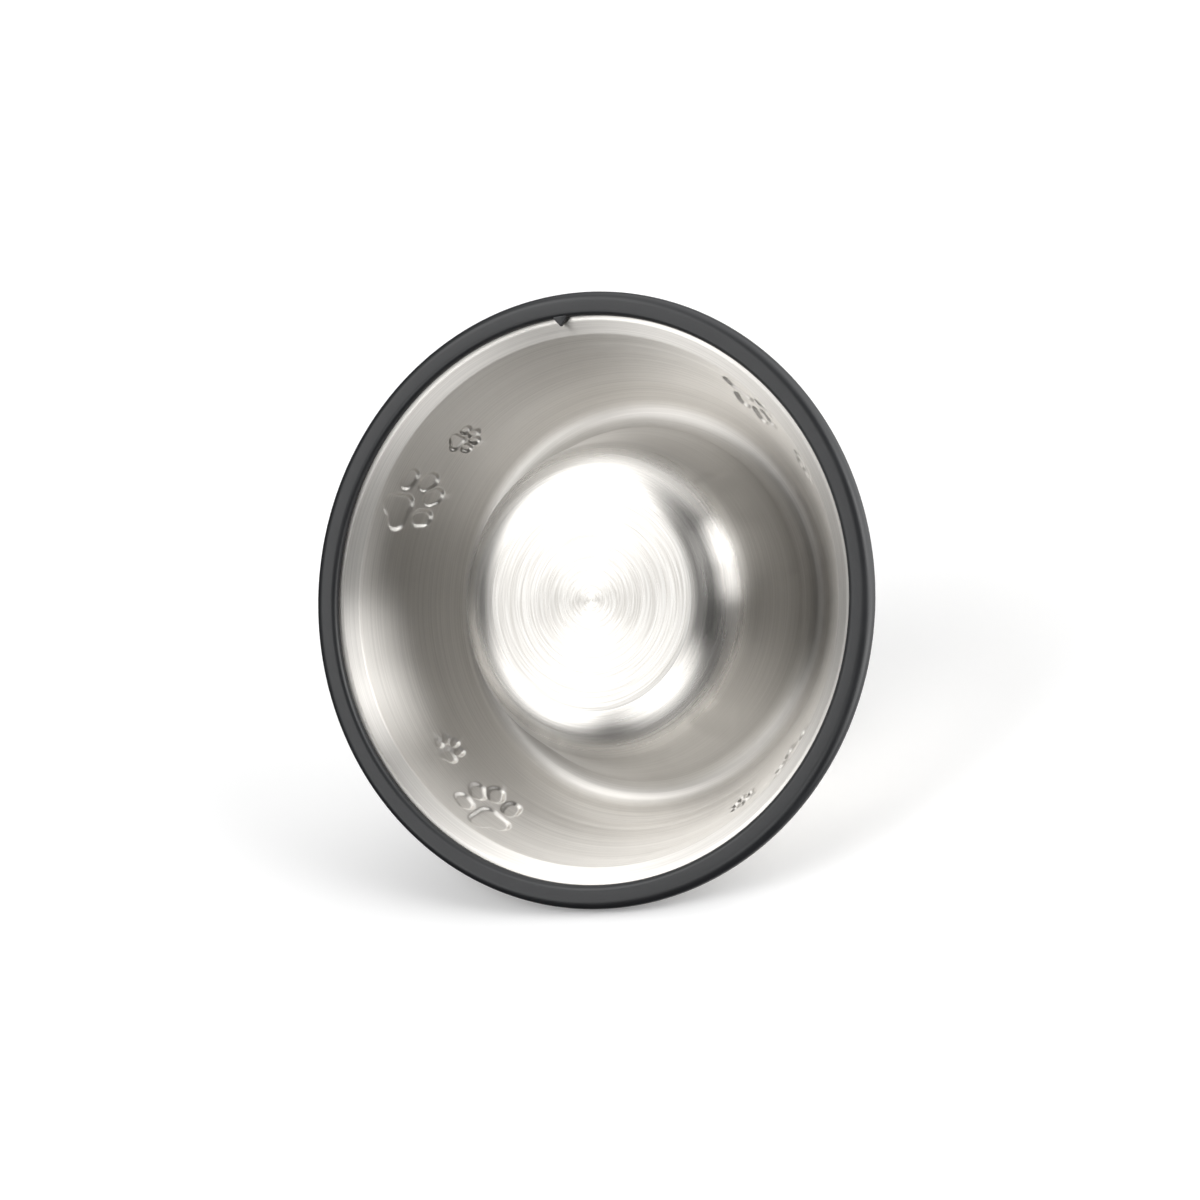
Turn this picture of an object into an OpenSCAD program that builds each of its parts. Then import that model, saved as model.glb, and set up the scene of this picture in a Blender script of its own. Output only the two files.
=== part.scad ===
// Stainless dog bowl of the no-tip kind. One sheet of steel is pressed into a flat-bottomed bowl,
// turned over at a rolled lip and drawn down into a flared skirt, with a rubber ring round its foot.
// The bowl stands on its ring: z = 0 is the table, and the z axis is the bowl's own axis.

/* [Bowl] */
// Diameter over the rubber ring, which is the size the bowl is sold by
base_d = 220; // [180:1:260]
// Height from the table to the top of the rolled lip
bowl_h = 50; // [44:0.5:60]
// Diameter of the lip, measured across its crest
lip_d = 139; // [126:1:146]
// Outer radius of the lip's roll
lip_roll_r = 5.5; // [4:0.1:7]
// Thickness of the sheet steel
sheet_t = 0.6; // [0.5:0.05:1]
// Diameter at which the bowl's wall would meet its floor without a rounded corner
well_d = 107; // [96:1:112]
// Radius of the corner between the bowl's floor and its wall
well_corner_r = 14; // [8:0.5:18]
// Clear height between the table and the bowl's floor
well_gap = 4.7; // [3:0.1:9]

/* [Foot] */
// Width of the flat flange at the foot of the skirt, out to its edge
flange_w = 9.7; // [8:0.1:12]
// Radius of the bend between the skirt and its flange
foot_bend_r = 5; // [3:0.1:7]

/* [Rubber ring] */
// Width of the ring's flat underside, measured across its section
ring_w = 8.7; // [7:0.1:10]
// Height of the ring
ring_h = 7; // [6:0.1:9]
// Thickness of the ring's lip under the flange
ring_lip_t = 2.8; // [2:0.1:3.5]
// Thickness of rubber outside the flange's edge
ring_wall = 3.1; // [2:0.1:4]
// Radius of the ring's two outer edges
ring_outer_edge_r = 2.6; // [1:0.1:3]
// Radius of the ring's two inner edges
ring_inner_edge_r = 0.8; // [0.3:0.1:1.2]
// Clearance between the ring's groove and the steel in it, on each side
ring_fit = 0.1; // [0.05:0.05:0.3]
// Width of the moulding tab inside the ring
tab_w = 5.4; // [3:0.1:8]
// Length of the moulding tab towards the middle
tab_l = 3.1; // [1:0.1:4]
// Thickness of the moulding tab
tab_t = 1.6; // [1:0.1:2]

/* [Paw prints] */
// Width of the large paw print over its outer toes
paw_w = 23; // [18:0.5:26]
// Size of the small print, as a share of the large one
small_paw_share = 0.46; // [0.35:0.01:0.55]
// Depth of the embossing
paw_relief = 0.8; // [0.6:0.05:1.2]
// Direction in which the prints walk, up from level
paw_heading = 47; // [0:1:90]
// Height of the large print's middle up the skirt, from the foot's bend
large_paw_up = 18.5; // [14:0.5:26]
// Height of the small print's middle up the skirt, from the foot's bend
small_paw_up = 25.5; // [18:0.5:30]
// Turn from the large print to the small one of its pair
pair_turn = 19; // [14:0.5:24]

/* [Hidden] */
$fn = 144;

// Turn between neighbouring points of a rounded stretch in a section
arc_step = 6;
// Overrun of a cut past the face that it opens
overrun = 0.4;
// Directions round the bowl of the four large paw prints
paw_pair_turns = [81.5, 168.8, 250, 353];
// Direction round the bowl of the moulding tab
tab_turn = 309.5;

base_r = base_d / 2;
half_t = sheet_t / 2;
floor_z = well_gap + half_t;
lip_c = [lip_d / 2, bowl_h - lip_roll_r];
roll_mid_r = lip_roll_r - half_t;
ring_inner_r = base_r - ring_w;
slot_bottom = ring_lip_t;
slot_top = ring_lip_t + sheet_t + 2 * ring_fit;
slot_r = base_r - ring_wall;
flange_z = (slot_bottom + slot_top) / 2;
flange_edge_r = slot_r - ring_fit;
foot_corner = [flange_edge_r - flange_w, flange_z];
well_corner = [well_d / 2, floor_z];

// Geometry of sections. Points are [radius, height].

// Point at distance r and angle a from c
function polar(c, r, a) = c + r * [cos(a), sin(a)];

// Number of chords for an arc that turns by a
function chords(a) = max(1, ceil(abs(a) / arc_step));

// Arc about c from angle a0, turning by a
function arc(c, r, a0, a) = [for (i = [0:chords(a)]) polar(c, r, a0 + a * i / chords(a))];

// Smallest signed turn from angle a0 to angle a1
function turn(a0, a1) = (a1 - a0 + 540) % 360 - 180;

// Angle of the vector v
function heading(v) = atan2(v[1], v[0]);

// Point where the line from p touches the circle of radius r about c
function touch(p, c, r, side) =
    let (v = c - p, reach = norm(v), a = heading(v) + side * asin(r / reach))
    polar(p, sqrt(reach * reach - r * r), a);

// Arc of radius r that rounds the corner p between a and b
function fillet(a, p, b, r) =
    let (u = (a - p) / norm(a - p), v = (b - p) / norm(b - p))
    let (half = acos(u * v) / 2, c = p + r / sin(half) * (u + v) / norm(u + v))
    let (p0 = p + r / tan(half) * u, p1 = p + r / tan(half) * v)
    arc(c, r, heading(p0 - c), turn(heading(p0 - c), heading(p1 - c)));

// Closed outline whose corners are rounded, each by its own radius
function rounded(corners, radii) =
    let (n = len(corners))
    [for (i = [0:n - 1]) each fillet(corners[(i + n - 1) % n], corners[i], corners[(i + 1) % n], radii[i])];

// Direction square to the path at its point i, with the mitre that keeps the thickness
function mitre(path, i) =
    let (last = len(path) - 1, a = path[max(i - 1, 0)], b = path[i], c = path[min(i + 1, last)])
    let (u = i == 0 ? (c - b) / norm(c - b) : (b - a) / norm(b - a))
    let (v = i == last ? u : (c - b) / norm(c - b), m = (u + v) / norm(u + v))
    [-m[1], m[0]] / (m * u);

// The path moved sideways by d
function beside(path, d) = [for (i = [0:len(path) - 1]) path[i] + d * mitre(path, i)];

// The path walked from its end to its start
function reversed(path) = [for (i = [len(path) - 1:-1:0]) path[i]];

// Band of the given reach on either side of a path
function band(path, d0, d1) = concat(beside(path, d0), reversed(beside(path, d1)));

// Middle of the sheet, from the axis out to the flange's edge
wall_top = touch(well_corner, lip_c, roll_mid_r, 1);
skirt_top = touch(foot_corner, lip_c, roll_mid_r, -1);
roll_start = heading(wall_top - lip_c);
roll_turn = turn(roll_start, heading(skirt_top - lip_c) - 180) - 180;
sheet_path = concat(
    [[0, floor_z]],
    fillet([0, floor_z], well_corner, wall_top, well_corner_r + half_t),
    arc(lip_c, roll_mid_r, roll_start, roll_turn),
    fillet(skirt_top, foot_corner, [flange_edge_r, flange_z], foot_bend_r + half_t),
    [[flange_edge_r, flange_z]]
);

// The skirt's straight flank, which carries the paw prints
skirt_v = (skirt_top - foot_corner) / norm(skirt_top - foot_corner);
skirt_lean = heading(skirt_v);

// Places and radii in the print, as shares of its width, with the print pointing along +Y
outer_toe_share = [0.385, 0.12];
inner_toe_share = [0.15, 0.42];
toe_r_share = 0.115;
toe_l_share = 0.1;
pad_lobe_share = [0.16, -0.3];
pad_lobe_r_share = 0.15;
pad_top_share = [0, -0.13];
pad_top_r_share = 0.18;
pad_notch_share = [0, -0.41];
// Lean of the toes away from the print's own direction
outer_toe_lean = 28;
inner_toe_lean = 8;

// One toe, at a place and a lean on the print's right side
module toe(at, lean, l, r) {
    translate(at) rotate(-lean) {
        translate([0, -l / 2]) circle(r);
        translate([0, l / 2]) circle(r);
        square([2 * r, l], center = true);
    }
}

// Right half of a paw print of the given width, with its outline grown by grow
module half_paw(w, grow) {
    toe_r = w * toe_r_share + grow;
    toe_l = w * toe_l_share;
    toe(w * outer_toe_share, outer_toe_lean, toe_l, toe_r);
    toe(w * inner_toe_share, inner_toe_lean, toe_l, toe_r);
    translate(w * pad_lobe_share) circle(w * pad_lobe_r_share + grow);
    translate(w * pad_top_share) circle(w * pad_top_r_share + grow);
    polygon(w * [pad_top_share, pad_notch_share, pad_lobe_share]);
}

// Whole paw print
module paw_outline(w, grow) {
    half_paw(w, grow);
    mirror([1, 0]) half_paw(w, grow);
}

// A print's outline run square through the skirt, at height up the flank and the given turn
module paw_prism(w, up, around, grow) {
    at = foot_corner + up * skirt_v;
    reach = w / 4;
    rotate([0, 0, around])
        translate([at[0], 0, at[1]])
            rotate([0, 180 - skirt_lean, 0])
                translate([0, 0, -reach])
                    linear_extrude(2 * reach)
                        rotate(paw_heading) paw_outline(w, grow);
}

// All eight prints as prisms
module paw_prisms(grow) {
    for (around = paw_pair_turns) {
        paw_prism(paw_w, large_paw_up, around, grow);
        paw_prism(paw_w * small_paw_share, small_paw_up, around + pair_turn, grow);
    }
}

// Part of the prints between the distances d0 and d1 from the middle of the skirt's sheet
module paw_layer(d0, d1, grow) {
    intersection() {
        rotate_extrude() polygon(band([skirt_top, foot_corner], d0, d1));
        paw_prisms(grow);
    }
}

// The steel pressing, of one thickness from floor to flange
module bowl_shell() {
    color("silver") difference() {
        union() {
            rotate_extrude() polygon(band(sheet_path, -half_t, half_t));
            paw_layer(0, paw_relief + half_t, sheet_t);
        }
        paw_layer(-half_t - overrun, paw_relief - half_t, 0);
    }
}

// The ring's section: a lip under the flange, the outer wall and a lip over the flange
ring_corners = [
    [ring_inner_r, 0],
    [base_r, 0],
    [base_r, ring_h],
    [ring_inner_r, ring_h],
    [ring_inner_r, slot_top],
    [slot_r, slot_top],
    [slot_r, slot_bottom],
    [ring_inner_r, slot_bottom]
];
ring_lip_edge_r = ring_inner_edge_r / 2;
ring_slot_edge_r = sheet_t / 4;
ring_radii = [
    ring_inner_edge_r,
    ring_outer_edge_r,
    ring_outer_edge_r,
    ring_inner_edge_r,
    ring_lip_edge_r,
    ring_slot_edge_r,
    ring_slot_edge_r,
    ring_lip_edge_r
];

// Rubber ring with its small moulding tab
module rubber_ring() {
    color("dimgray") {
        rotate_extrude() polygon(rounded(ring_corners, ring_radii));
        rotate([0, 0, tab_turn])
            translate([ring_inner_r, 0, (ring_lip_t - tab_t) / 2])
                linear_extrude(tab_t)
                    polygon([[overrun, -tab_w / 2], [overrun, tab_w / 2], [0, tab_w / 2], [-tab_l, 0], [0, -tab_w / 2]]);
    }
}

bowl_shell();
rubber_ring();
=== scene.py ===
"""Dresses a stainless no-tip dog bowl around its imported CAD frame.

The bowl is one pressed sheet with a rubber ring round its foot. The camera sees it from
underneath, as it lies on the flank of its skirt, so most of the steel in view is the inside of
the skirt and the back of the bowl's floor.

All lengths are metres in the frame of the CAD part, with z up the bowl's axis.
"""

import logging
import math
from dataclasses import dataclass, field
from enum import Enum
from typing import Any, Sequence

import bmesh
import bpy
import numpy as np
from mathutils import Matrix, Vector

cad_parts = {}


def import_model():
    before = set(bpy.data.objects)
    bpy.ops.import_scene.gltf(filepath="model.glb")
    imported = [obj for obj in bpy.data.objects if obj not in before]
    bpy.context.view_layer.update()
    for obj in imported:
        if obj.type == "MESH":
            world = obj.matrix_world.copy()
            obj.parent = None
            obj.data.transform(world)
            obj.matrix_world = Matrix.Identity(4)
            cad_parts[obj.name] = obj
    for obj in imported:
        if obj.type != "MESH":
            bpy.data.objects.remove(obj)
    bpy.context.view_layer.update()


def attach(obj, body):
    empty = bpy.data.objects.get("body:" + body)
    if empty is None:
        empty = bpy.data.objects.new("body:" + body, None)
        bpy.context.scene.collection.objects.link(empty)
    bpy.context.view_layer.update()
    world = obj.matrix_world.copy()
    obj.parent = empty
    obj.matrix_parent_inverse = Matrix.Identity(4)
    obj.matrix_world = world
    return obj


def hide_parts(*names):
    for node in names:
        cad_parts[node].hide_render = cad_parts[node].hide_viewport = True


MM = 0.001
UV_MAP = "OFBake"
ALONG = "along_sheet"

Point = np.ndarray
Links = dict[str, Any]
Stops = tuple[tuple[float, float], ...]

log = logging.getLogger("dog_bowl")


class Tread(Enum):
    """How closely a row of points is spaced round the bowl."""

    COARSE = "coarse"
    FINE = "fine"


class Floor(Enum):
    """The two surfaces that the bowl can be seen on."""

    FLANK = "floor_under_flank"
    FOOT = "floor_under_foot"


def linear(code: str) -> tuple[float, float, float, float]:
    """Turns an sRGB hex colour into linear light, by the standard's own curve.

    Args:
        code: Colour as "#rrggbb".

    Returns:
        Linear red, green, blue and an alpha of 1.
    """
    parts = [int(code[i:i + 2], 16) / 255 for i in (1, 3, 5)]
    r, g, b = (p / 12.92 if p <= 0.04045 else ((p + 0.055) / 1.055) ** 2.4 for p in parts)
    return r, g, b, 1.0


def heading(v: Point) -> float:
    """Returns the angle of a plane vector, in radians."""
    return math.atan2(v[1], v[0])


def turn(a0: float, a1: float) -> float:
    """Returns the smallest signed turn from angle a0 to angle a1."""
    return (a1 - a0 + 3 * math.pi) % (2 * math.pi) - math.pi


def unit(v: Point) -> Point:
    """Returns the vector scaled to length 1."""
    return v / np.linalg.norm(v)


def arc(c: Point, r: float, a0: float, a: float, step: float) -> list[Point]:
    """Walks an arc.

    Args:
        c: Centre.
        r: Radius.
        a0: Start angle.
        a: Signed turn.
        step: Largest turn between neighbours.

    Returns:
        Points from the start of the arc to its end.
    """
    n = max(1, math.ceil(abs(a) / step))
    angles = [a0 + a * i / n for i in range(n + 1)]
    return [c + r * np.array([math.cos(at), math.sin(at)]) for at in angles]


def fillet(a: Point, p: Point, b: Point, r: float, step: float) -> list[Point]:
    """Rounds the corner p between the points a and b by an arc of radius r.

    Args:
        a: Point before the corner.
        p: The corner.
        b: Point after the corner.
        r: Radius.
        step: Largest turn between neighbours.

    Returns:
        Points of the arc, from the side of a to the side of b.
    """
    u, v = unit(a - p), unit(b - p)
    half = math.acos(float(u @ v)) / 2
    c = p + r / math.sin(half) * unit(u + v)
    p0, p1 = p + r / math.tan(half) * u, p + r / math.tan(half) * v
    return arc(c, r, heading(p0 - c), turn(heading(p0 - c), heading(p1 - c)), step)


def touch(p: Point, c: Point, r: float, side: int) -> Point:
    """Finds where the line from p touches a circle.

    Args:
        p: Point that the line starts from.
        c: Centre of the circle.
        r: Its radius.
        side: 1 for the tangent that turns left of the centre, -1 for the other.

    Returns:
        The point of contact.
    """
    v = c - p
    reach = float(np.linalg.norm(v))
    a = heading(v) + side * math.asin(r / reach)
    return p + math.sqrt(reach * reach - r * r) * np.array([math.cos(a), math.sin(a)])


def divided(a: Point, b: Point, step: float) -> list[Point]:
    """Returns evenly spaced points between a and b, without the two ends."""
    n = max(1, math.ceil(float(np.linalg.norm(b - a)) / step))
    return [a + (b - a) * i / n for i in range(1, n)]


def square_to(path: Point) -> Point:
    """Finds the mitred direction square to an open path at each point.

    Args:
        path: Points of the path, one row each.

    Returns:
        Directions, as long as they need to be to keep an even distance from the path.
    """
    step = np.diff(path, axis=0)
    step /= np.linalg.norm(step, axis=1)[:, None]
    u, v = np.vstack([step[:1], step]), np.vstack([step, step[-1:]])
    m = u + v
    m /= np.linalg.norm(m, axis=1)[:, None]
    return np.stack([-m[:, 1], m[:, 0]], 1) / (m * u).sum(1)[:, None]


def smooth(t: Point) -> Point:
    """Returns the smooth step from 0 to 1 of a share that may run past both ends."""
    t = np.clip(t, 0, 1)
    return t * t * (3 - 2 * t)


def even_turns(step: float) -> Point:
    """Returns evenly spaced turns round the axis, in radians."""
    n = round(2 * math.pi / step)
    return np.arange(n) * 2 * math.pi / n


@dataclass(frozen=True)
class PawPrint:
    """One generic paw print, embossed through the sheet.

    Places and radii are shares of the print's width, with the print pointing along +y.
    """

    width: float
    up: float
    around: float
    walk: float = math.radians(47)
    outer_toe: tuple[float, float] = (0.385, 0.12)
    inner_toe: tuple[float, float] = (0.15, 0.42)
    toe_r: float = 0.115
    toe_l: float = 0.1
    outer_lean: float = math.radians(28)
    inner_lean: float = math.radians(8)
    pad_lobe: tuple[float, float] = (0.16, -0.3)
    pad_top: tuple[float, float] = (0.0, -0.1)
    pad_notch: tuple[float, float] = (0.0, -0.26)
    pad_r: float = 0.15
    # Half the size of the square patch of the skirt that the print is pressed into
    reach: float = 0.6

    def strokes(self) -> list[tuple[Point, Point, float]]:
        """Lists the round-ended strokes that make up the print.

        Returns:
            Start, end and radius of each stroke, in shares of the width.
        """
        toes = ((self.outer_toe, self.outer_lean), (self.inner_toe, self.inner_lean))
        found = []
        for side in (-1, 1):
            for (x, y), lean in toes:
                at = np.array([side * x, y])
                along = np.array([side * math.sin(lean), math.cos(lean)]) * self.toe_l / 2
                found.append((at - along, at + along, self.toe_r))
            lobe = np.array([side * self.pad_lobe[0], self.pad_lobe[1]])
            for other in (self.pad_top, self.pad_notch):
                found.append((lobe, np.array(other), self.pad_r))
        return found

    def outside(self, x: Point, y: Point) -> Point:
        """Measures how far points lie outside the print's outline.

        Args:
            x: Places across the print, in metres.
            y: Places along the print, in metres.

        Returns:
            Distances in metres, negative inside the outline.
        """
        p = np.stack([x, y], -1) / self.width
        best = np.full(x.shape, np.inf)
        for a, b, r in self.strokes():
            t = np.clip(((p - a) @ (b - a)) / ((b - a) @ (b - a)), 0, 1)
            gap = np.linalg.norm(p - a - t[..., None] * (b - a), axis=-1) - r
            best = np.minimum(best, gap)
        return best * self.width


@dataclass(frozen=True)
class Row:
    """One ring of a revolved mesh: its radius, height, place along the section and spacing."""

    r: float
    z: float
    along: float
    tread: Tread = Tread.COARSE


@dataclass
class Revolved:
    """One mesh revolved from rows of points, with a clean map of its own for baking.

    The section is walked with the solid on its left, so that the faces look outwards.
    """

    name: str
    rows: Sequence[Row]
    turns: Point
    coarse: Point
    looped: bool = False

    def columns(self, row: Row) -> Point:
        """Returns which of the turns a row has."""
        return np.arange(len(self.turns)) if row.tread is Tread.FINE else self.coarse

    def strip(self, a: int, b: int, index: Point) -> list[list[int]]:
        """Joins two neighbouring rows.

        Args:
            a: The first row.
            b: The next row.
            index: Vertex of each row and turn, or -1 where a row has none.

        Returns:
            Faces as lists of vertices. A fine row meets a coarse one in faces with extra corners.
        """
        n = len(self.turns)
        alike = self.rows[a].tread is self.rows[b].tread
        cells = self.columns(self.rows[a]) if alike else self.coarse
        found = []
        for start, end in zip(cells, [*cells[1:], n]):
            span = [i % n for i in range(start, end + 1)]
            near = [index[a][i] for i in span if index[a][i] >= 0]
            far = [index[b][i] for i in reversed(span) if index[b][i] >= 0]
            found.append(near + far)
        return found

    def build(self, lift: Point | None = None) -> bpy.types.Object:
        """Builds the mesh.

        Args:
            lift: Shift of the points in radius and height, for each row and turn.

        Returns:
            The new object, smooth shaded, with its place along the section as an attribute.
        """
        rings = []
        index = np.full((len(self.rows), len(self.turns)), -1)
        for i, row in enumerate(self.rows):
            cols = self.columns(row)
            shift = lift[i][cols] if lift is not None else np.zeros((len(cols), 2))
            a = self.turns[cols]
            r, z = row.r + shift[:, 0], row.z + shift[:, 1]
            index[i][cols] = np.arange(len(cols)) + sum(len(ring) for ring in rings)
            along = np.full(len(a), row.along)
            rings.append(np.stack([r * np.cos(a), r * np.sin(a), z, along, a], 1))
        last = len(self.rows) - 1
        faces = [f for i in range(last) for f in self.strip(i, i + 1, index)]
        if self.looped:
            faces += self.strip(last, 0, index)
        else:
            faces.append([int(i) for i in index[0][self.coarse]][::-1])
            faces.append([int(i) for i in index[last][self.coarse]])
        points = np.vstack(rings)
        mesh = bpy.data.meshes.new(self.name)
        mesh.from_pydata(points[:, :3].tolist(), [], faces)
        mesh.update()
        mesh.shade_smooth()
        place = mesh.attributes.new(ALONG, "FLOAT", "POINT")
        place.data.foreach_set("value", points[:, 3].astype(np.float32))
        self.unroll(mesh, points[:, 4] / (2 * math.pi))
        piece = bpy.data.objects.new(self.name, mesh)
        bpy.context.scene.collection.objects.link(piece)
        return piece

    def unroll(self, mesh: bpy.types.Mesh, turn_share: Point) -> None:
        """Lays the mesh out flat: turns run across the map and rows run up it.

        Args:
            mesh: The mesh, whose vertices come row by row.
            turn_share: Turn of each vertex as a share of the circle.
        """
        line = np.array([[row.r, row.z] for row in [*self.rows, self.rows[0]]])
        steps = np.linalg.norm(np.diff(line, axis=0), axis=1)
        walked = np.concatenate([[0], np.cumsum(steps)])
        walked /= walked[-1] if self.looped else walked[-2]
        up = np.concatenate([np.full(len(self.columns(row)), w)
                             for row, w in zip(self.rows, walked)])
        corners = np.zeros(len(mesh.loops), np.int32)
        mesh.loops.foreach_get("vertex_index", corners)
        first = np.zeros(len(mesh.polygons), np.int32)
        mesh.polygons.foreach_get("loop_start", first)
        count = np.diff(np.append(first, len(corners)))
        flat = np.stack([turn_share[corners], up[corners]], 1)
        # A face across the map's seam has corners at both of its ends, and the low ones move up
        # by one whole map. The two end caps, which have far more corners, stay as they are.
        wraps = np.repeat(count < len(self.coarse), count)
        for k in (0, 1):
            most = np.repeat(np.maximum.reduceat(flat[:, k], first), count)
            flat[:, k] += (most - flat[:, k] > 1 / 2) & wraps
        layer = mesh.uv_layers.new(name=UV_MAP)
        layer.uv.foreach_set("vector", flat.astype(np.float32).ravel())


class NodeTree:
    """A material's or a world's nodes, made and linked one at a time."""

    def __init__(self, owner: bpy.types.Material | bpy.types.World) -> None:
        """Clears the owner's nodes and keeps its tree.

        Args:
            owner: The material or world.
        """
        owner.use_nodes = True
        self.tree = owner.node_tree
        self.tree.nodes.clear()

    def add(self, kind: str, links: Links | None = None, **settings: Any) -> bpy.types.Node:
        """Adds one node.

        Args:
            kind: Blender's name of the node type.
            links: For each input, by name or number, a value or another node's output.
            **settings: The node's own settings.

        Returns:
            The new node.
        """
        node = self.tree.nodes.new(kind)
        for name, value in settings.items():
            setattr(node, name, value)
        for key, value in (links or {}).items():
            if isinstance(value, bpy.types.NodeSocket):
                self.tree.links.new(value, node.inputs[key])
            else:
                node.inputs[key].default_value = value
        return node


@dataclass(frozen=True)
class BrushedStainless:
    """AISI 304 sheet, pressed, then spun against an abrasive belt while it turned."""

    # To the eye: the fine scratches run round the axis, so a highlight fans out from the middle
    # of the floor and lies as a soft band along each wall. Nickel and chromium warm the grey.
    name: str = "stainless_304_spun_brushed"
    slot: str = "stainless"
    colour: str = "#f3f0eb"
    scratch_colour: str = "#e6e3de"
    anisotropy: float = 1.0
    # Quarter of a turn, which sets the stretch of the highlight across the scratches
    grain_turn: float = 0.25
    # Roughness at places along the sheet from the axis outwards: floor, corner, wall, lip, skirt
    # and foot
    zones: Stops = (
        (0 * MM, 0.3), (38 * MM, 0.3), (40 * MM, 0.24), (56 * MM, 0.27), (65 * MM, 0.33),
        (92 * MM, 0.36), (102 * MM, 0.3), (112 * MM, 0.33), (148 * MM, 0.4), (153 * MM, 0.38))
    # Whiteness along the sheet. From 50 mm to 103 mm, on the wall between floor and lip, it is a
    # painted shade that darkens the steel to about 0.55 to 0.62
    tone_and_painted_shade: Stops = (
        (0 * MM, 1.0), (50 * MM, 1.0), (62 * MM, 0.62), (97 * MM, 0.55), (103 * MM, 1.0))
    sheet_end: float = 170 * MM
    # Scratches are 0.1 mm apart on the real sheet, too fine to show, so they are drawn wider
    scratch_pitch: float = 0.45 * MM
    scratch_depth: float = 0.0012 * MM
    scratch_detail: float = 3.0
    scratch_fade: float = 0.6
    scratch_range: tuple[float, float] = (0.35, 0.65)
    # Wider ripples that the belt leaves where it rests on the turning sheet, and how far their
    # troughs and crests differ in roughness
    ripple_pitch: float = 2.6 * MM
    ripple_depth: float = 0.004 * MM
    ripple_detail: float = 2.0
    ripple_swirl: float = 0.6
    ripple_range: tuple[float, float] = (0.3, 0.7)
    uneven: float = 0.03

    def material(self) -> bpy.types.Material:
        """Builds the material.

        Returns:
            The finished material.
        """
        mat = bpy.data.materials.new(self.name)
        t = NodeTree(mat)
        place = t.add("ShaderNodeTexCoord")
        flat = t.add("ShaderNodeVectorMath", {0: place.outputs["Object"], 1: (1, 1, 0)},
                     operation="MULTIPLY")
        around = t.add("ShaderNodeVectorMath", {0: flat.outputs[0]}, operation="NORMALIZE")
        along = t.add("ShaderNodeAttribute", attribute_name=ALONG, attribute_type="GEOMETRY")

        lines = t.add("ShaderNodeMath", {0: along.outputs["Fac"], 1: 1 / self.scratch_pitch},
                      operation="MULTIPLY")
        climb = t.add("ShaderNodeCombineXYZ", {"Z": lines.outputs[0]})
        streak = t.add("ShaderNodeVectorMath", {0: around.outputs[0], 1: climb.outputs[0]},
                       operation="ADD")
        scratches = t.add("ShaderNodeTexNoise", {
            "Vector": streak.outputs[0], "Scale": 1.0, "Detail": self.scratch_detail,
            "Roughness": self.scratch_fade})

        waves = t.add("ShaderNodeMath", {0: along.outputs["Fac"], 1: 1 / self.ripple_pitch},
                      operation="MULTIPLY")
        rise = t.add("ShaderNodeCombineXYZ", {"Z": waves.outputs[0]})
        slow = t.add("ShaderNodeVectorMath", {0: around.outputs[0], "Scale": self.ripple_swirl},
                     operation="SCALE")
        swell = t.add("ShaderNodeVectorMath", {0: slow.outputs[0], 1: rise.outputs[0]},
                      operation="ADD")
        ripples = t.add("ShaderNodeTexNoise", {
            "Vector": swell.outputs[0], "Scale": 1.0, "Detail": self.ripple_detail})

        share = t.add("ShaderNodeMath", {0: along.outputs["Fac"], 1: 1 / self.sheet_end},
                      operation="MULTIPLY")
        ramps = []
        for values in (self.zones, self.tone_and_painted_shade):
            ramp = t.add("ShaderNodeValToRGB", {"Fac": share.outputs[0]})
            stops = ramp.color_ramp.elements
            while len(stops) < len(values):
                stops.new(1.0)
            for stop, (at, value) in zip(stops, values):
                stop.position = at / self.sheet_end
                stop.color = (value, value, value, 1.0)
            ramps.append(ramp)
        zone, tone_and_shade = ramps

        depth = t.add("ShaderNodeMapRange", {
            "Value": scratches.outputs["Fac"], "From Min": self.scratch_range[0],
            "From Max": self.scratch_range[1]})
        shade = t.add("ShaderNodeMix", {
            "Factor": depth.outputs["Result"], "A": linear(self.colour),
            "B": linear(self.scratch_colour)}, data_type="RGBA")
        # The ramp multiplies the colour: it leaves floor and skirt as they are and paints shade on
        # the wall between floor and lip
        sheet = t.add("ShaderNodeMix", {
            "Factor": 1.0, "A": shade.outputs["Result"], "B": tone_and_shade.outputs["Color"]},
            data_type="RGBA", blend_type="MULTIPLY")
        wander = t.add("ShaderNodeMapRange", {
            "Value": ripples.outputs["Fac"], "From Min": self.ripple_range[0],
            "From Max": self.ripple_range[1], "To Min": -self.uneven, "To Max": self.uneven})
        rough = t.add("ShaderNodeMath", {0: zone.outputs["Color"], 1: wander.outputs["Result"]},
                      operation="ADD")
        fine = t.add("ShaderNodeBump", {
            "Height": scratches.outputs["Fac"], "Strength": 1.0, "Distance": self.scratch_depth})
        bump = t.add("ShaderNodeBump", {
            "Height": ripples.outputs["Fac"], "Strength": 1.0, "Distance": self.ripple_depth,
            "Normal": fine.outputs["Normal"]})
        tangent = t.add("ShaderNodeTangent", direction_type="RADIAL", axis="Z")
        steel = t.add("ShaderNodeBsdfPrincipled", {
            "Base Color": sheet.outputs["Result"], "Metallic": 1.0, "Roughness": rough.outputs[0],
            "Anisotropic": self.anisotropy, "Anisotropic Rotation": self.grain_turn,
            "Tangent": tangent.outputs["Tangent"], "Normal": bump.outputs["Normal"]})
        t.add("ShaderNodeOutputMaterial", {"Surface": steel.outputs["BSDF"]})
        return mat


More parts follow.
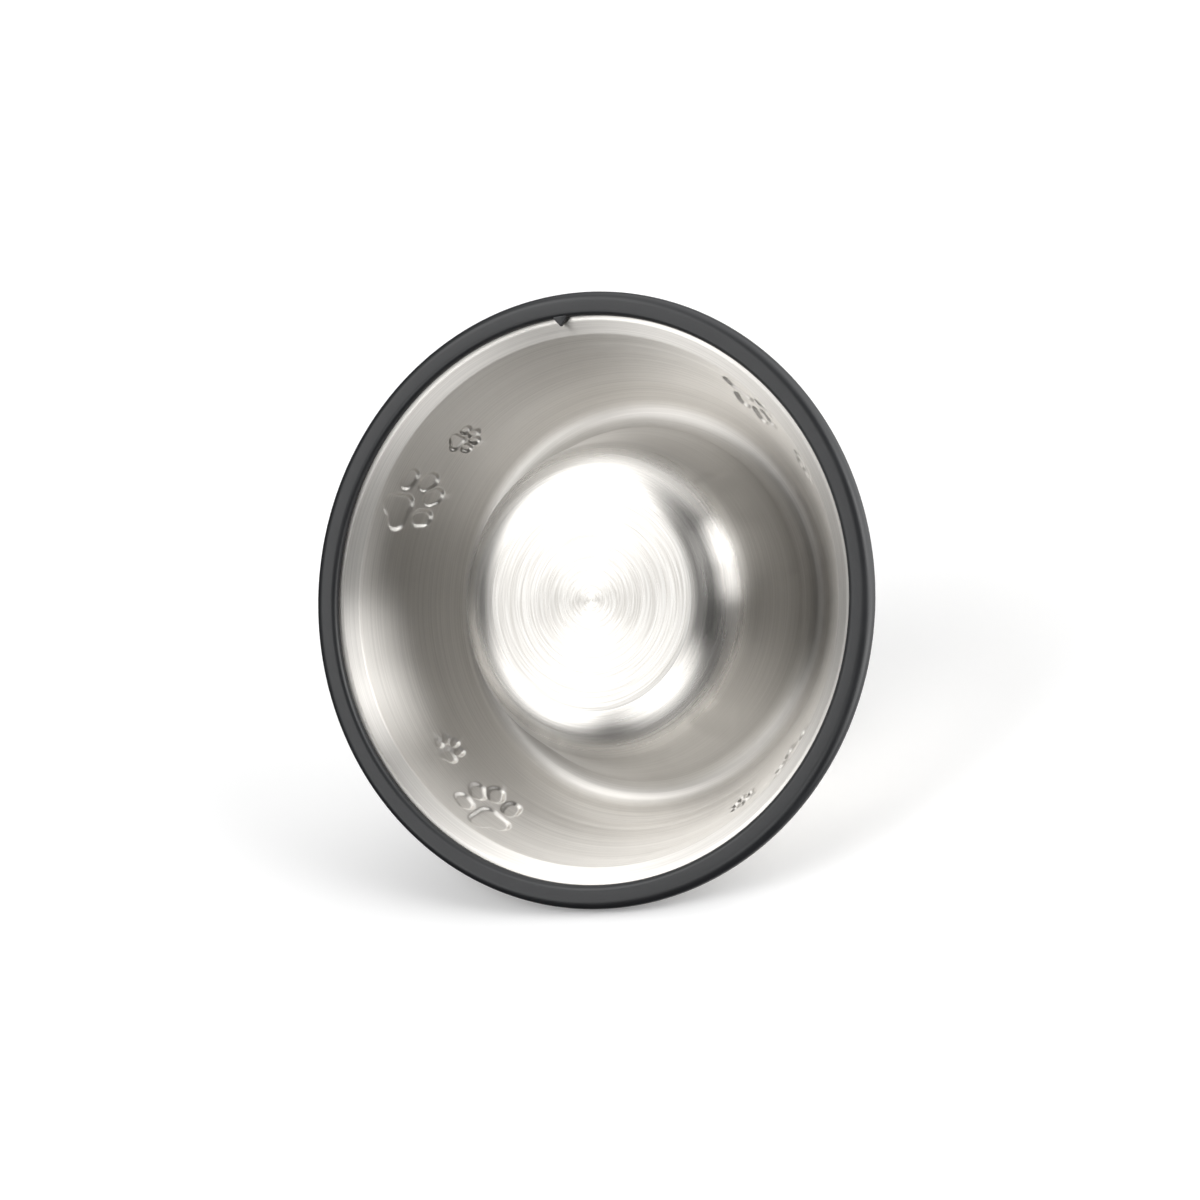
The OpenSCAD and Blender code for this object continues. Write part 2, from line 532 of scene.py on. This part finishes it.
@dataclass(frozen=True)
class TurnedFloor(BrushedStainless):
    """The flat of the floor, brushed again with a belt of its own up to its rounded corner."""

    # To the eye: brighter and more even than the walls, with a clear edge and a faint fan of light
    name: str = "stainless_304_turned_floor"
    colour: str = "#e3e1dd"
    scratch_colour: str = "#c6c3be"
    anisotropy: float = 0.6
    zones: Stops = ((0 * MM, 0.27), (40 * MM, 0.27))
    # A touch duller at the middle and at the edge, where the belt bears less
    tone_and_painted_shade: Stops = ((0 * MM, 0.96), (8 * MM, 1.0), (34 * MM, 1.0), (40 * MM, 0.96))
    scratch_pitch: float = 0.9 * MM


@dataclass(frozen=True)
class MouldedRubber:
    """Black EPDM rubber, compression moulded in a tool with a blasted cavity."""

    # To the eye: a soft charcoal with a broad dull sheen and a very fine pebble
    name: str = "epdm_rubber_moulded"
    slot: str = "rubber"
    colour: str = "#242527"
    dusty_colour: str = "#2c2d2f"
    ior: float = 1.52
    # Roughness of clean rubber and of dusty rubber
    sheen: tuple[float, float] = (0.3, 0.44)
    # The blasted grain is about 0.1 mm wide, and is drawn wider so that it shows
    grain: float = 0.5 * MM
    grain_depth: float = 0.02 * MM
    grain_detail: float = 2.0
    # Width of the patches of dust
    bloom: float = 14 * MM
    bloom_detail: float = 4.0

    def material(self) -> bpy.types.Material:
        """Builds the material.

        Returns:
            The finished material.
        """
        mat = bpy.data.materials.new(self.name)
        t = NodeTree(mat)
        place = t.add("ShaderNodeTexCoord")
        grain = t.add("ShaderNodeTexNoise", {
            "Vector": place.outputs["Object"], "Scale": 1 / self.grain,
            "Detail": self.grain_detail})
        bloom = t.add("ShaderNodeTexNoise", {
            "Vector": place.outputs["Object"], "Scale": 1 / self.bloom,
            "Detail": self.bloom_detail})
        colour = t.add("ShaderNodeMix", {
            "Factor": bloom.outputs["Fac"], "A": linear(self.colour),
            "B": linear(self.dusty_colour)}, data_type="RGBA")
        rough = t.add("ShaderNodeMapRange", {
            "Value": bloom.outputs["Fac"], "To Min": self.sheen[0], "To Max": self.sheen[1]})
        bump = t.add("ShaderNodeBump", {
            "Height": grain.outputs["Fac"], "Strength": 1.0, "Distance": self.grain_depth})
        rubber = t.add("ShaderNodeBsdfPrincipled", {
            "Base Color": colour.outputs["Result"], "Roughness": rough.outputs["Result"],
            "IOR": self.ior, "Normal": bump.outputs["Normal"]})
        t.add("ShaderNodeOutputMaterial", {"Surface": rubber.outputs["BSDF"]})
        return mat


@dataclass
class SteelBowl:
    """The steel pressing: floor, wall, rolled lip, flared skirt and flange, all one sheet.

    The lip, the floor's corner and the flank are a little softer than in the solids, and mirror
    the studio's light more gently. The foot is a short slope where the solids have one bend.
    """

    height: float = 50 * MM
    lip_r: float = 69.5 * MM
    roll_r: float = 6.5 * MM
    flank_bow: float = 2 * MM
    sheet: float = 0.6 * MM
    # Radius of the small round face that closes the sheet at the axis
    hub_r: float = 0.5 * MM
    well_r: float = 53.5 * MM
    well_corner_r: float = 20 * MM
    well_gap: float = 4.7 * MM
    flange_w: float = 9.7 * MM
    flange_edge_r: float = 106.8 * MM
    flange_z: float = 3.2 * MM
    # The skirt meets its flange over a short slope, with a tight bend at either end
    foot_crease_r: float = 1.4 * MM
    foot_slope: float = math.radians(36)
    foot_slope_end: float = 100 * MM
    paw_w: float = 23 * MM
    small_paw_share: float = 0.46
    paw_relief: float = 0.8 * MM
    # Width of the slope round a large print, and the share of it that doesn't shrink with a print
    paw_slope: float = 1.5 * MM
    paw_slope_kept: float = 0.6
    large_up: float = 18.5 * MM
    small_up: float = 25.5 * MM
    pair_turn: float = math.radians(19)
    pair_turns: tuple[float, ...] = (81.5, 168.8, 250.0, 353.0)
    # Radius of the bowl at the prints' middle and at their top, as shares of that at its foot
    paw_r_share: float = 0.9
    paw_top_share: float = 0.85
    # Least cosine of the turn away from a print at which its relief is worked out
    paw_side: float = 0.9
    arc_step: float = math.radians(6)
    corner_step: float = math.radians(3)
    coarse_step: float = math.radians(2)
    fine_step: float = 0.5 * MM
    foot_step: float = 2 * MM
    long_step: float = 4 * MM
    finish: BrushedStainless = field(default_factory=BrushedStainless)
    floor_finish: BrushedStainless = field(default_factory=TurnedFloor)

    def prints(self) -> list[PawPrint]:
        """Lists the four pairs of paw prints.

        Returns:
            A large print and a small one for each pair.
        """
        found = []
        for degrees in self.pair_turns:
            a = math.radians(degrees)
            small_w = self.paw_w * self.small_paw_share
            found.append(PawPrint(self.paw_w, self.large_up, a))
            found.append(PawPrint(small_w, self.small_up, a + self.pair_turn))
        return found

    def corners(self) -> dict[str, Point]:
        """Works out the named points of the section.

        Returns:
            The sheet's middle at each corner and tangent point, as radius and height.
        """
        floor = self.well_gap + self.sheet / 2
        lip = np.array([self.lip_r, self.height - self.roll_r])
        roll = self.roll_r - self.sheet / 2
        well = np.array([self.well_r, floor])
        foot = np.array([self.flange_edge_r - self.flange_w, self.flange_z])
        skirt_top = touch(foot, lip, roll, -1)
        flank = unit(skirt_top - foot)
        slope = np.array([-math.cos(self.foot_slope), math.sin(self.foot_slope)])
        slope_end = np.array([self.foot_slope_end, self.flange_z])
        climb, _ = np.linalg.solve(np.column_stack([flank, -slope]), slope_end - foot)
        return {"axis": np.array([0.0, floor]), "lip": lip, "well": well, "foot": foot,
                "edge": np.array([self.flange_edge_r, self.flange_z]),
                "crease": foot + climb * flank, "slope_end": slope_end,
                "wall_top": touch(well, lip, roll, 1), "skirt_top": skirt_top}

    def section(self) -> tuple[Point, list[Tread]]:
        """Walks the middle of the sheet.

        Returns:
            Points from the axis to the flange's edge, and the spacing of each.
        """
        c = self.corners()
        half = self.sheet / 2
        roll = self.roll_r - half
        start = heading(c["wall_top"] - c["lip"])
        sweep = turn(start, heading(c["skirt_top"] - c["lip"]) - math.pi) - math.pi
        corner = fillet(c["axis"], c["well"], c["wall_top"], self.well_corner_r + half,
                        self.corner_step)
        lip = arc(c["lip"], roll, start, sweep, self.arc_step)
        crease = fillet(c["skirt_top"], c["crease"], c["slope_end"], self.foot_crease_r,
                        self.arc_step)
        hollow = fillet(c["crease"], c["slope_end"], c["edge"], self.foot_crease_r,
                        self.arc_step)
        foot = [*crease, *divided(crease[-1], hollow[0], self.foot_step), *hollow]
        up = unit(c["skirt_top"] - c["foot"])
        reach = PawPrint(self.paw_w, 0, 0).reach * self.paw_w
        high = c["foot"] + (self.large_up + reach) * up
        low = c["foot"] + (self.large_up - reach) * up
        hub = np.array([self.hub_r, c["axis"][1]])
        inner = [hub, *divided(hub, corner[0], self.long_step), *corner,
                 *divided(corner[-1], lip[0], self.long_step), *lip,
                 *divided(lip[-1], high, self.long_step)]
        belt = [high, *divided(high, low, self.fine_step), low]
        outer = [*divided(low, foot[0], self.long_step), *foot,
                 *divided(foot[-1], c["edge"], self.long_step), c["edge"]]
        tread = [Tread.COARSE] * len(inner) + [Tread.FINE] * len(belt)
        tread += [Tread.COARSE] * len(outer)
        path = np.array(inner + belt + outer)
        return self.bowed(path, c["skirt_top"], crease[0]), tread

    def bowed(self, path: Point, top: Point, low: Point) -> Point:
        """Swells the skirt's flank outwards between its two ends.

        Args:
            path: Middle of the sheet, with a straight flank.
            top: Upper end of the flank, at the roll.
            low: Lower end of the flank, at its crease.

        Returns:
            The path with its flank bowed.
        """
        chord = low - top
        share = (path - top) @ chord / (chord @ chord)
        on_flank = (share > 0) & (share < 1) & (path[:, 0] > self.lip_r)
        swell = np.where(on_flank, self.flank_bow * 4 * share * (1 - share), 0.0)
        return path + swell[:, None] * unit(np.array([-chord[1], chord[0]]))

    def turns(self) -> tuple[Point, Point]:
        """Spaces the columns round the bowl, closer where a paw print lies.

        Returns:
            All turns in radians, and the indices of those that coarse rows have.
        """
        foot_r = self.corners()["foot"][0]
        coarse = even_turns(self.coarse_step)
        split = round(self.coarse_step * foot_r / self.fine_step * self.paw_r_share)
        step = self.coarse_step / split
        fine = even_turns(step)
        keep = np.isin(np.round(fine / step), np.round(coarse / step))
        for paw in self.prints():
            half = paw.reach * paw.width / (foot_r * self.paw_top_share)
            off = (fine - paw.around + math.pi) % (2 * math.pi) - math.pi
            keep |= np.abs(off) < half
        kept = fine[keep]
        marks = np.round(kept / step) % round(self.coarse_step / step) == 0
        return kept, np.flatnonzero(marks)

    def relief(self, path: Point, tread: Sequence[Tread], turns: Point) -> Point:
        """Measures how far the sheet is pressed outwards.

        Args:
            path: Middle of the sheet.
            tread: Spacing of each row, which is fine on the flank alone.
            turns: Columns round the bowl.

        Returns:
            Height of the embossing for each row and column.
        """
        c = self.corners()
        up = unit(c["skirt_top"] - c["foot"])
        height = np.zeros((len(path), len(turns)))
        flank = np.array([kind is Tread.FINE for kind in tread])[:, None]
        for paw in self.prints():
            at = c["foot"] + paw.up * up
            off = turns[None, :] - paw.around
            t = path[:, :1] * np.sin(off)
            v = (path[:, :1] * np.cos(off) - at[0]) * up[0] + (path[:, 1:] - at[1]) * up[1]
            near = (np.cos(off) > self.paw_side) & (np.abs(v) < paw.reach * paw.width)
            x = -v * math.cos(paw.walk) + t * math.sin(paw.walk)
            y = v * math.sin(paw.walk) + t * math.cos(paw.walk)
            kept = self.paw_slope_kept
            slope = self.paw_slope * (kept + (1 - kept) * paw.width / self.paw_w)
            # The outline is the recess's, so the middle of the sheet's slope lies outside it
            raised = 1 - smooth((paw.outside(x, y) - self.sheet / 2) / slope + 1 / 2)
            pressed = np.maximum(height, raised * self.paw_relief)
            height = np.where(flank & near, pressed, height)
        return height

    def build(self) -> bpy.types.Object:
        """Builds the pressing.

        Returns:
            The steel piece, in place.
        """
        path, tread = self.section()
        turns, coarse = self.turns()
        out = square_to(path)
        steps = np.linalg.norm(np.diff(path, axis=0), axis=1)
        along = np.concatenate([[0], np.cumsum(steps)]) + path[0, 0]
        lift = self.relief(path, tread, turns)[..., None] * out[:, None, :]
        there = range(len(path))
        rows = []
        for side, order in ((-1, there), (1, reversed(there))):
            line = path + side * self.sheet / 2 * out
            rows += [Row(*line[i], along[i], tread[i]) for i in order]
        shape = Revolved("steel_bowl", rows, turns, coarse)
        return shape.build(np.concatenate([lift, lift[::-1]]))

    def dress(self, piece: bpy.types.Object) -> None:
        """Gives the pressing its finishes and its place in the frame.

        Args:
            piece: The steel piece.
        """
        mesh = piece.data
        mesh.materials.append(self.finish.material())
        mesh.materials.append(self.floor_finish.material())
        edge = self.floor_finish.zones[-1][0]
        for face in mesh.polygons:
            face.material_index = int(face.center.xy.length < edge)
        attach(piece, "root")
        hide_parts("bowl_shell")


@dataclass
class RubberRing:
    """The rubber ring: a channel whose groove grips the flange, with a small tab inside."""

    base_r: float = 110 * MM
    width: float = 8.7 * MM
    height: float = 7 * MM
    lip: float = 2.8 * MM
    wall: float = 3.1 * MM
    groove: float = 0.8 * MM
    outer_edge_r: float = 2.6 * MM
    inner_edge_r: float = 0.8 * MM
    lip_edge_r: float = 0.4 * MM
    groove_edge_r: float = 0.1 * MM
    # The two edges of the ring's underside are rounder than its upper ones
    foot_outer_r: float = 3.4 * MM
    foot_inner_r: float = 2.2 * MM
    tab_w: float = 5.4 * MM
    tab_l: float = 3.1 * MM
    tab_t: float = 1.6 * MM
    tab_turn: float = math.radians(309.5)
    tab_edge: float = 0.35 * MM
    tab_edge_cuts: int = 3
    # How far the tab's root lies inside the ring
    tab_root: float = 0.8 * MM
    arc_step: float = math.radians(7.5)
    turn_step: float = math.radians(1.5)
    finish: MouldedRubber = field(default_factory=MouldedRubber)

    def section(self) -> list[Point]:
        """Walks the ring's section.

        Returns:
            Points round the section, with the rubber on the left.
        """
        inner, slot = self.base_r - self.width, self.base_r - self.wall
        top = self.lip + self.groove
        corners = [
            ((inner, 0), self.foot_inner_r), ((self.base_r, 0), self.foot_outer_r),
            ((self.base_r, self.height), self.outer_edge_r),
            ((inner, self.height), self.inner_edge_r), ((inner, top), self.lip_edge_r),
            ((slot, top), self.groove_edge_r), ((slot, self.lip), self.groove_edge_r),
            ((inner, self.lip), self.lip_edge_r)]
        at = [np.array(c) for c, _ in corners]
        n = len(at)
        return [p for i, (_, r) in enumerate(corners)
                for p in fillet(at[i - 1], at[i], at[(i + 1) % n], r, self.arc_step)]

    def build(self) -> bpy.types.Object:
        """Builds the ring with its tab.

        Returns:
            The rubber piece, in place.
        """
        turns = even_turns(self.turn_step)
        rows = [Row(*p, i * MM) for i, p in enumerate(self.section())]
        every = np.arange(len(turns))
        piece = Revolved("rubber_ring_dressed", rows, turns, every, looped=True).build()
        self.add_tab(piece.data)
        return piece

    def add_tab(self, mesh: bpy.types.Mesh) -> None:
        """Adds the moulding tab to the ring's mesh, with softened edges.

        Args:
            mesh: The ring's mesh.
        """
        inner = self.base_r - self.width
        root, half = inner + self.tab_root, self.tab_w / 2
        low = (self.lip - self.tab_t) / 2
        outline = [(root, -half), (root, half), (inner, half), (inner - self.tab_l, 0),
                   (inner, -half)]
        shape = bmesh.new()
        shape.from_mesh(mesh)
        tab = bmesh.new()
        face = tab.faces.new([tab.verts.new((x, y, low)) for x, y in outline])
        pushed = bmesh.ops.extrude_face_region(tab, geom=[face])
        moved = [v for v in pushed["geom"] if isinstance(v, bmesh.types.BMVert)]
        bmesh.ops.translate(tab, verts=moved, vec=(0, 0, self.tab_t))
        bmesh.ops.bevel(tab, geom=tab.edges[:], offset=self.tab_edge,
                        segments=self.tab_edge_cuts, affect="EDGES", profile=1 / 2)
        bmesh.ops.recalc_face_normals(tab, faces=tab.faces[:])
        spin = Matrix.Rotation(self.tab_turn, 3, "Z")
        bmesh.ops.rotate(tab, verts=tab.verts[:], cent=(0, 0, 0), matrix=spin)
        part = bpy.data.meshes.new("tab")
        tab.to_mesh(part)
        shape.from_mesh(part)
        for f in shape.faces:
            f.smooth = True
        shape.to_mesh(mesh)
        tab.free()
        shape.free()
        bpy.data.meshes.remove(part)

    def dress(self, piece: bpy.types.Object) -> None:
        """Gives the ring its finish and its place in the frame.

        Args:
            piece: The rubber piece.
        """
        piece.data.materials.append(self.finish.material())
        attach(piece, "root")
        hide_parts("rubber_ring")


@dataclass(frozen=True)
class Glow:
    """One soft area of the studio's walls that the steel mirrors.

    Its direction is given by the picture's own right, up and front, where front is towards the
    camera. Its strength falls off smoothly from its middle to its spread.
    """

    towards: tuple[float, float, float]
    spread: float
    strength: float


@dataclass(frozen=True)
class WhiteCard:
    """Matte white paper sweep under the bowl, seen only from its upper side."""

    # To the eye: an even white. Part of it is the card's own, which keeps the bowl's shadow pale.
    name: str = "white_paper_sweep"
    colour: str = "#f4f4f4"
    own_white: float = 0.15

    def material(self) -> bpy.types.Material:
        """Builds the material.

        Returns:
            The finished material.
        """
        mat = bpy.data.materials.new(self.name)
        t = NodeTree(mat)
        paper = t.add("ShaderNodeBsdfDiffuse", {"Color": linear(self.colour)})
        own = t.add("ShaderNodeEmission", {
            "Color": linear(self.colour), "Strength": self.own_white})
        lit = t.add("ShaderNodeAddShader", {0: paper.outputs[0], 1: own.outputs[0]})
        side = t.add("ShaderNodeNewGeometry")
        clear = t.add("ShaderNodeBsdfTransparent")
        both = t.add("ShaderNodeMixShader", {
            0: side.outputs["Backfacing"], 1: lit.outputs[0], 2: clear.outputs[0]})
        t.add("ShaderNodeOutputMaterial", {"Surface": both.outputs[0]})
        return mat


@dataclass
class Studio:
    """The camera at the photograph's viewing angle, the white floors and the soft light."""

    camera_turn: float = math.radians(49.567)
    camera_rise: float = math.radians(-63.78)
    camera_roll: float = math.radians(-93.65)
    distance: float = 1986.4 * MM
    aim: tuple[float, float, float] = (3.157 * MM, 3.382 * MM, 2.276 * MM)
    lens_mm: float = 167.66
    sensor_mm: float = 36.0
    far_end: float = 50.0
    floor_size: float = 6.0
    flank_turn: float = math.radians(133.5)
    foot_card: WhiteCard = WhiteCard(own_white=0.4)
    flank_card: WhiteCard = WhiteCard()
    wall: float = 0.01
    glows: tuple[Glow, ...] = (
        Glow((-0.78, 0.45, 0.43), math.radians(27), 4.3),
        Glow((-0.79, 0.05, 0.61), math.radians(17), 1.65),
        Glow((-0.88, -0.3, 0.37), math.radians(21), 3.3),
        Glow((-0.42, -0.42, 0.8), math.radians(23), 3.0),
        Glow((0.5, 0.57, 0.65), math.radians(16), 3.8),
        Glow((0.73, 0.31, 0.61), math.radians(22), 4.0),
        Glow((-0.05, 1.0, 0.0), math.radians(50), 1.8),
        Glow((0.9, -0.32, 0.2), math.radians(36), 3.2),
        Glow((0.89, 0.44, 0.13), math.radians(61), 2.3),
        Glow((0.44, -0.03, -0.9), math.radians(55), 0.8))

    def axes(self) -> Matrix:
        """Works out the picture's right, up and front in the frame of the part.

        Returns:
            A rotation whose columns are those three directions.
        """
        level = math.cos(self.camera_rise)
        front = Vector((math.cos(self.camera_turn) * level, math.sin(self.camera_turn) * level,
                        math.sin(self.camera_rise)))
        across = Vector((0, 0, 1)).cross(front).normalized()
        right = Matrix.Rotation(self.camera_roll, 3, -front) @ across
        return Matrix((right, front.cross(right), front)).transposed()

    def add_camera(self) -> None:
        """Places the camera and makes it the scene's own."""
        axes = self.axes()
        data = bpy.data.cameras.new("camera")
        data.lens = self.lens_mm
        data.sensor_width = self.sensor_mm
        data.clip_end = self.far_end
        camera = bpy.data.objects.new("camera", data)
        place = Vector(self.aim) + axes.col[2] * self.distance
        camera.matrix_world = Matrix.Translation(place) @ axes.to_4x4()
        bpy.context.scene.collection.objects.link(camera)
        bpy.context.scene.camera = camera

    def add_floor(self, kind: Floor, bowl: SteelBowl, ring: RubberRing) -> None:
        """Adds one white floor, which faces the bowl and shows only from that side.

        Args:
            kind: The floor that the bowl lies on with its flank, or the one under its foot.
            bowl: The pressing, whose lip meets the floor.
            ring: The ring, whose edge meets it.
        """
        if kind is Floor.FOOT:
            card, out, offset = self.foot_card, Vector((0, 0, -1)), 0.0
        else:
            edge = np.array([ring.base_r, ring.height]) - ring.outer_edge_r
            span = bowl.corners()["lip"] - edge
            rise = (ring.outer_edge_r - bowl.roll_r) / np.linalg.norm(span)
            lean = heading(span) - math.acos(rise)
            card = self.flank_card
            out = Vector((math.cos(self.flank_turn) * math.cos(lean),
                          math.sin(self.flank_turn) * math.cos(lean), math.sin(lean)))
            offset = float(edge @ [math.cos(lean), math.sin(lean)]) + ring.outer_edge_r
        half = self.floor_size / 2
        square = [(-half, -half, 0), (half, -half, 0), (half, half, 0), (-half, half, 0)]
        mesh = bpy.data.meshes.new(kind.value)
        mesh.from_pydata(square, [], [(0, 1, 2, 3)])
        mesh.materials.append(card.material())
        floor = bpy.data.objects.new(kind.value, mesh)
        facing = (-out).to_track_quat("Z", "Y").to_matrix().to_4x4()
        floor.matrix_world = Matrix.Translation(out * offset) @ facing
        for ray in ("diffuse", "glossy", "transmission", "volume_scatter", "shadow"):
            setattr(floor, f"visible_{ray}", False)
        bpy.context.scene.collection.objects.link(floor)

    def add_light(self) -> None:
        """Lights the bowl by the studio's soft walls, which look plain and pale to the camera."""
        world = bpy.data.worlds.new("studio")
        bpy.context.scene.world = world
        t = NodeTree(world)
        at = t.add("ShaderNodeTexCoord")
        axes = self.axes()
        level = self.wall
        for glow in self.glows:
            towards = (axes @ Vector(glow.towards)).normalized()
            facing = t.add("ShaderNodeVectorMath", {0: at.outputs["Generated"], 1: towards},
                           operation="DOT_PRODUCT")
            soft = t.add("ShaderNodeMapRange", {
                "Value": facing.outputs["Value"], "From Min": math.cos(glow.spread),
                "From Max": 1.0, "To Min": 0.0, "To Max": glow.strength},
                interpolation_type="SMOOTHSTEP")
            both = t.add("ShaderNodeMath", {0: level, 1: soft.outputs["Result"]},
                         operation="ADD")
            level = both.outputs[0]
        seen = t.add("ShaderNodeLightPath")
        walls = t.add("ShaderNodeBackground", {"Strength": level})
        white = t.add("ShaderNodeBackground", {"Strength": 1.0})
        studio = t.add("ShaderNodeMixShader", {
            0: seen.outputs["Is Camera Ray"], 1: walls.outputs[0], 2: white.outputs[0]})
        t.add("ShaderNodeOutputWorld", {"Surface": studio.outputs[0]})

    def build(self, bowl: SteelBowl, ring: RubberRing) -> None:
        """Sets up the whole studio round the bowl.

        Args:
            bowl: The pressing.
            ring: The rubber ring.
        """
        self.add_camera()
        for kind in Floor:
            self.add_floor(kind, bowl, ring)
        self.add_light()
        bpy.context.scene.view_settings.view_transform = "Standard"


def main() -> None:
    """Loads the frame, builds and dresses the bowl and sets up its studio."""
    logging.basicConfig(level=logging.INFO, format="%(message)s")
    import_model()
    bowl, ring = SteelBowl(), RubberRing()
    for part in (bowl, ring):
        piece = part.build()
        part.dress(piece)
        finishes = ", ".join(material.name for material in piece.data.materials)
        log.info("%s: %d faces, finished in %s", piece.name, len(piece.data.polygons), finishes)
    studio = Studio()
    studio.build(bowl, ring)
    log.info("studio: %d floors, %d glows", len(Floor), len(studio.glows))


if __name__ == "__main__":
    main()
